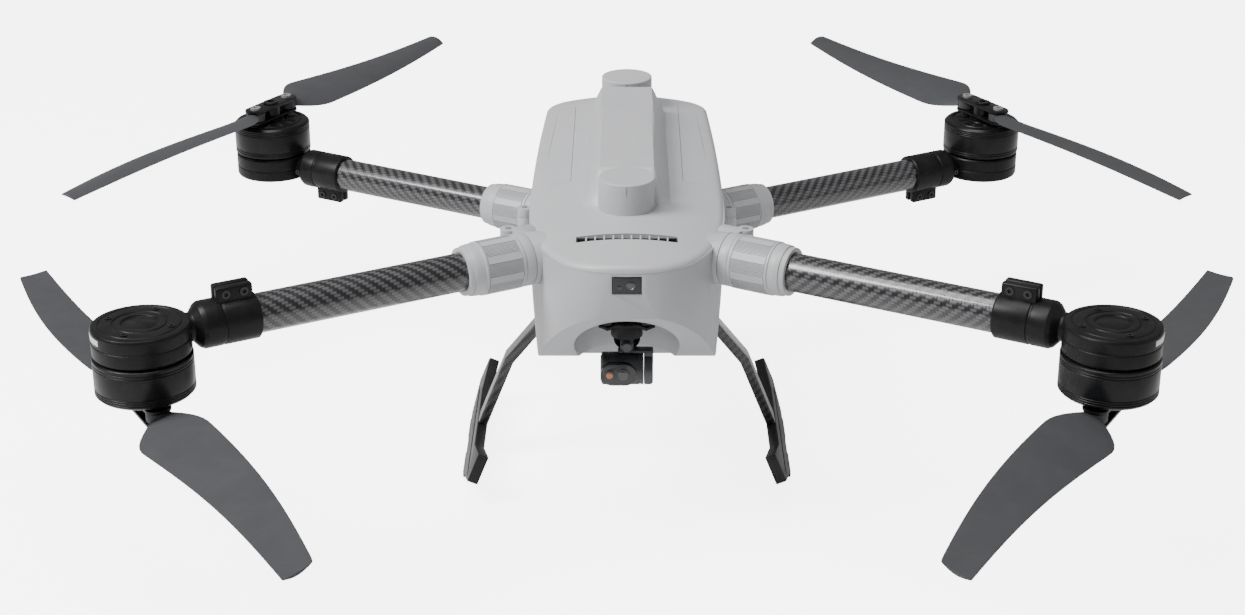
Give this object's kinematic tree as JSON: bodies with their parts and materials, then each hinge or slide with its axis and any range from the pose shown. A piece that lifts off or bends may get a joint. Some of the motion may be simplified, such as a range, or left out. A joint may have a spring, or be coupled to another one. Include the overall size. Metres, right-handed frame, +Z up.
{
  "type": "quadcopter drone",
  "caption": "Folding quadcopter with hinged carbon arms, lock collars, folding propellers, landing skids and a stabilised gimbal camera under the nose.",
  "frame": {"origin": "on the ground, midway between the four motor axes", "axes": "+X towards the aircraft's own left, which is the viewer's right when facing its nose; -Y towards the nose; +Z up"},
  "size_m": [1.0102, 1.1518, 0.283],
  "materials": {
    "shell_grey": "satin moulded plastic, light grey",
    "deck_grey": "satin moulded plastic, light grey",
    "collar_grey": "satin moulded plastic with fine ribs, light grey",
    "carbon_tube": "gloss clear coat over a 2x2 twill carbon weave",
    "carbon_leg": "satin carbon weave",
    "black_plastic": "satin black",
    "bell_black": "satin black anodised",
    "blade_grey": "matte dark grey carbon-filled nylon",
    "smoked_glass": "smoked acrylic",
    "lens_glass": "coated lens",
    "barrel_grey": "satin dark grey",
    "pad_rubber": "matte black rubber",
    "pin_steel": "brushed steel",
    "pack_black": "matte black housing"
  },
  "bodies": {
    "fuselage": {"lower_shell": "shell_grey", "top_cover": "deck_grey", "hatch_covers": "deck_grey", "vent_grille": "black_plastic", "camera_window": "smoked_glass", "nose_lenses": "lens_glass", "front_antenna": "deck_grey", "rear_antenna": "deck_grey", "belly_tray": "shell_grey", "battery_pack": "pack_black", "flight_controller": "pack_black", "leg_left": "carbon_leg", "leg_right": "carbon_leg", "skid_left": "black_plastic", "skid_right": "black_plastic", "skid_pads": "pad_rubber", "damper_plate": "black_plastic", "dampers": "pad_rubber", "hinge_pins": "pin_steel", "arm_root_fl": "shell_grey", "arm_root_fr": "shell_grey", "arm_root_rl": "shell_grey", "arm_root_rr": "shell_grey"},
    "gimbal_yaw": {"pan_motor": "black_plastic"},
    "gimbal_roll": {"roll_arm": "black_plastic"},
    "camera": {"camera_barrel": "barrel_grey", "camera_lenses": "lens_glass"},
    "arm_fl": {"arm_knuckle_fl": "collar_grey", "arm_tube_fl": "carbon_tube", "motor_mount_fl": "black_plastic"},
    "collar_fl": {"lock_collar_fl": "collar_grey"},
    "rotor_fl": {"motor_bell_fl": "bell_black", "prop_hub_fl": "bell_black"},
    "blade_a_fl": {"blade_a_fl": "blade_grey"},
    "blade_b_fl": {"blade_b_fl": "blade_grey"},
    "arm_fr": {"arm_knuckle_fr": "collar_grey", "arm_tube_fr": "carbon_tube", "motor_mount_fr": "black_plastic"},
    "collar_fr": {"lock_collar_fr": "collar_grey"},
    "rotor_fr": {"motor_bell_fr": "bell_black", "prop_hub_fr": "bell_black"},
    "blade_a_fr": {"blade_a_fr": "blade_grey"},
    "blade_b_fr": {"blade_b_fr": "blade_grey"},
    "arm_rl": {"arm_knuckle_rl": "collar_grey", "arm_tube_rl": "carbon_tube", "motor_mount_rl": "black_plastic"},
    "collar_rl": {"lock_collar_rl": "collar_grey"},
    "rotor_rl": {"motor_bell_rl": "bell_black", "prop_hub_rl": "bell_black"},
    "blade_a_rl": {"blade_a_rl": "blade_grey"},
    "blade_b_rl": {"blade_b_rl": "blade_grey"},
    "arm_rr": {"arm_knuckle_rr": "collar_grey", "arm_tube_rr": "carbon_tube", "motor_mount_rr": "black_plastic"},
    "collar_rr": {"lock_collar_rr": "collar_grey"},
    "rotor_rr": {"motor_bell_rr": "bell_black", "prop_hub_rr": "bell_black"},
    "blade_a_rr": {"blade_a_rr": "blade_grey"},
    "blade_b_rr": {"blade_b_rr": "blade_grey"}
  },
  "joints": [
    {"name": "fold_fl", "type": "hinge", "parent": "fuselage", "child": "arm_fl", "pos_m": [-0.09363, -0.13859, 0.2295], "axis": [0, 0, -1], "range_deg": [0, 110]},
    {"name": "lock_fl", "type": "hinge", "parent": "arm_fl", "child": "collar_fl", "pos_m": [-0.10554, -0.17858, 0.2295], "axis": [-0.8713, -0.4908, 0], "range_deg": [0, 60]},
    {"name": "spin_fl", "type": "hinge", "parent": "arm_fl", "child": "rotor_fl", "pos_m": [-0.3495, -0.316, 0.177], "axis": [0, 0, 1], "continuous": true},
    {"name": "blade_a_swing_fl", "type": "hinge", "parent": "rotor_fl", "child": "blade_a_fl", "pos_m": [-0.3375, -0.33679, 0.177], "axis": [0, 0, 1], "range_deg": [0, 60]},
    {"name": "blade_b_swing_fl", "type": "hinge", "parent": "rotor_fl", "child": "blade_b_fl", "pos_m": [-0.3615, -0.29522, 0.177], "axis": [0, 0, 1], "range_deg": [0, 30]},
    {"name": "fold_fr", "type": "hinge", "parent": "fuselage", "child": "arm_fr", "pos_m": [0.09363, -0.13859, 0.2295], "axis": [0, 0, 1], "range_deg": [0, 110]},
    {"name": "lock_fr", "type": "hinge", "parent": "arm_fr", "child": "collar_fr", "pos_m": [0.10554, -0.17858, 0.2295], "axis": [0.8713, -0.4908, 0], "range_deg": [0, 60]},
    {"name": "spin_fr", "type": "hinge", "parent": "arm_fr", "child": "rotor_fr", "pos_m": [0.3495, -0.316, 0.177], "axis": [0, 0, -1], "continuous": true},
    {"name": "blade_a_swing_fr", "type": "hinge", "parent": "rotor_fr", "child": "blade_a_fr", "pos_m": [0.3375, -0.33679, 0.177], "axis": [0, 0, -1], "range_deg": [0, 60]},
    {"name": "blade_b_swing_fr", "type": "hinge", "parent": "rotor_fr", "child": "blade_b_fr", "pos_m": [0.3615, -0.29522, 0.177], "axis": [0, 0, -1], "range_deg": [0, 30]},
    {"name": "fold_rl", "type": "hinge", "parent": "fuselage", "child": "arm_rl", "pos_m": [-0.09363, 0.13859, 0.145], "axis": [0, 0, 1], "range_deg": [0, 110]},
    {"name": "lock_rl", "type": "hinge", "parent": "arm_rl", "child": "collar_rl", "pos_m": [-0.10554, 0.17858, 0.145], "axis": [-0.8713, 0.4908, 0], "range_deg": [0, 60]},
    {"name": "spin_rl", "type": "hinge", "parent": "arm_rl", "child": "rotor_rl", "pos_m": [-0.3495, 0.316, 0.1975], "axis": [0, 0, -1], "continuous": true},
    {"name": "blade_a_swing_rl", "type": "hinge", "parent": "rotor_rl", "child": "blade_a_rl", "pos_m": [-0.3375, 0.33679, 0.1975], "axis": [0, 0, -1], "range_deg": [0, 60]},
    {"name": "blade_b_swing_rl", "type": "hinge", "parent": "rotor_rl", "child": "blade_b_rl", "pos_m": [-0.3615, 0.29522, 0.1975], "axis": [0, 0, -1], "range_deg": [0, 30]},
    {"name": "fold_rr", "type": "hinge", "parent": "fuselage", "child": "arm_rr", "pos_m": [0.09363, 0.13859, 0.145], "axis": [0, 0, -1], "range_deg": [0, 110]},
    {"name": "lock_rr", "type": "hinge", "parent": "arm_rr", "child": "collar_rr", "pos_m": [0.10554, 0.17858, 0.145], "axis": [0.8713, 0.4908, 0], "range_deg": [0, 60]},
    {"name": "spin_rr", "type": "hinge", "parent": "arm_rr", "child": "rotor_rr", "pos_m": [0.3495, 0.316, 0.1975], "axis": [0, 0, 1], "continuous": true},
    {"name": "blade_a_swing_rr", "type": "hinge", "parent": "rotor_rr", "child": "blade_a_rr", "pos_m": [0.3375, 0.33679, 0.1975], "axis": [0, 0, 1], "range_deg": [0, 60]},
    {"name": "blade_b_swing_rr", "type": "hinge", "parent": "rotor_rr", "child": "blade_b_rr", "pos_m": [0.3615, 0.29522, 0.1975], "axis": [0, 0, 1], "range_deg": [0, 30]},
    {"name": "gimbal_pan", "type": "hinge", "parent": "fuselage", "child": "gimbal_yaw", "pos_m": [0, -0.186, 0.18], "axis": [0, 0, 1], "range_deg": [-90, 90]},
    {"name": "gimbal_tip", "type": "hinge", "parent": "gimbal_yaw", "child": "gimbal_roll", "pos_m": [0, -0.186, 0.1655], "axis": [0, 1, 0], "range_deg": [-25, 25]},
    {"name": "camera_tilt", "type": "hinge", "parent": "gimbal_roll", "child": "camera", "pos_m": [0, -0.186, 0.146], "axis": [1, 0, 0], "range_deg": [-25, 90]}
  ],
  "couplings": [
    {"joint": "blade_a_swing_fl", "follows": "fold_fl", "ratio": 0.54545},
    {"joint": "blade_b_swing_fl", "follows": "fold_fl", "ratio": 0.27273},
    {"joint": "blade_a_swing_fr", "follows": "fold_fr", "ratio": 0.54545},
    {"joint": "blade_b_swing_fr", "follows": "fold_fr", "ratio": 0.27273},
    {"joint": "blade_a_swing_rl", "follows": "fold_rl", "ratio": 0.54545},
    {"joint": "blade_b_swing_rl", "follows": "fold_rl", "ratio": 0.27273},
    {"joint": "blade_a_swing_rr", "follows": "fold_rr", "ratio": 0.54545},
    {"joint": "blade_b_swing_rr", "follows": "fold_rr", "ratio": 0.27273}
  ]
}
